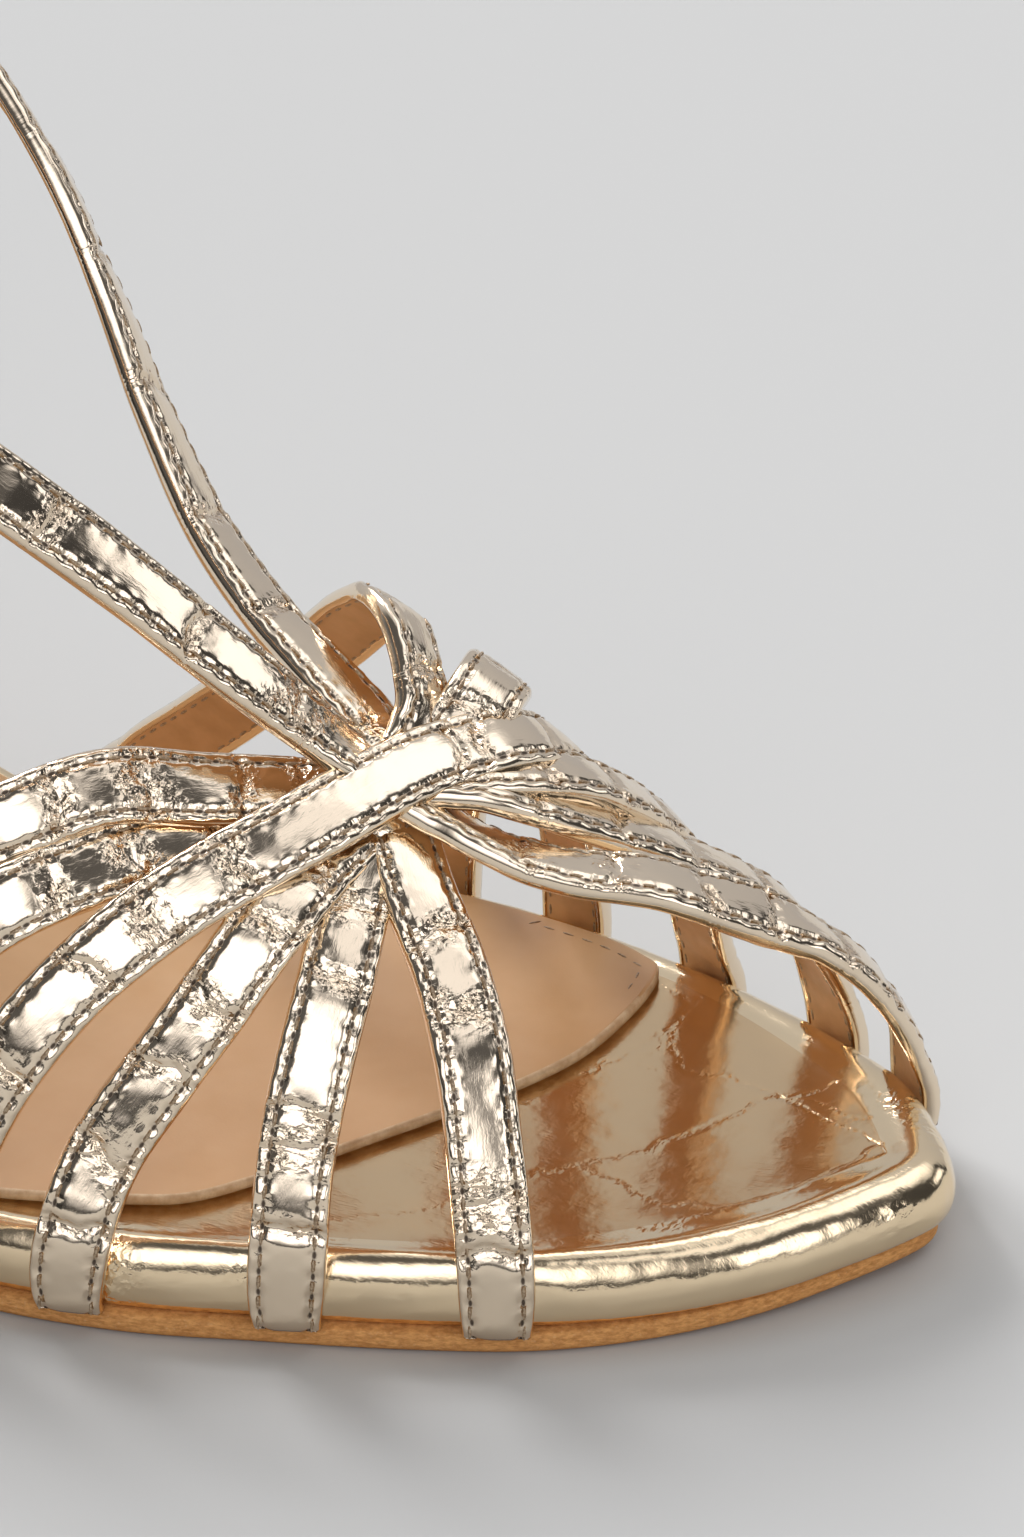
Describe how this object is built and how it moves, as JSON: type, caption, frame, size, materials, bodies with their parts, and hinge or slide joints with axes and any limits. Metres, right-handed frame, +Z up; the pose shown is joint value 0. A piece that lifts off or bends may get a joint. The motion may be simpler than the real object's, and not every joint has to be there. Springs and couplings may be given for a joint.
{
  "type": "ankle strap sandal",
  "caption": "Heeled sandal of narrow metallic leather straps that cross over the vamp and run on as a buckled ankle strap, on a wrapped footbed with tan sock and leather sole.",
  "frame": {"origin": "on the floor under the middle of the shoe's length and width", "axes": "+X to the toe, +Y to the inner (big toe) side of this right shoe, +Z up"},
  "size_m": [0.228, 0.0876, 0.1395],
  "materials": {
    "sole_leather": "tan leather sole with an unsealed cut edge",
    "metallic_leather": "pale gold foil leather wrapped over a rounded bead",
    "sock_leather": "smooth matt peach tan leather",
    "strap_leather": "pale gold foil leather with embossed creases and tan lining",
    "counter_leather": "pale gold foil leather with tan lining",
    "heel_cover": "pale gold foil leather over a hard block",
    "lift_rubber": "dark wearing rubber",
    "buckle_metal": "polished pale gold metal"
  },
  "bodies": {
    "root": {"outsole": "sole_leather", "footbed": "metallic_leather", "insole_sock": "sock_leather", "upper": "strap_leather", "heel_counter": "counter_leather", "heel": "heel_cover", "heel_top_lift": "lift_rubber", "buckle_frame": "buckle_metal", "buckle_prong": "buckle_metal"}
  },
  "joints": []
}
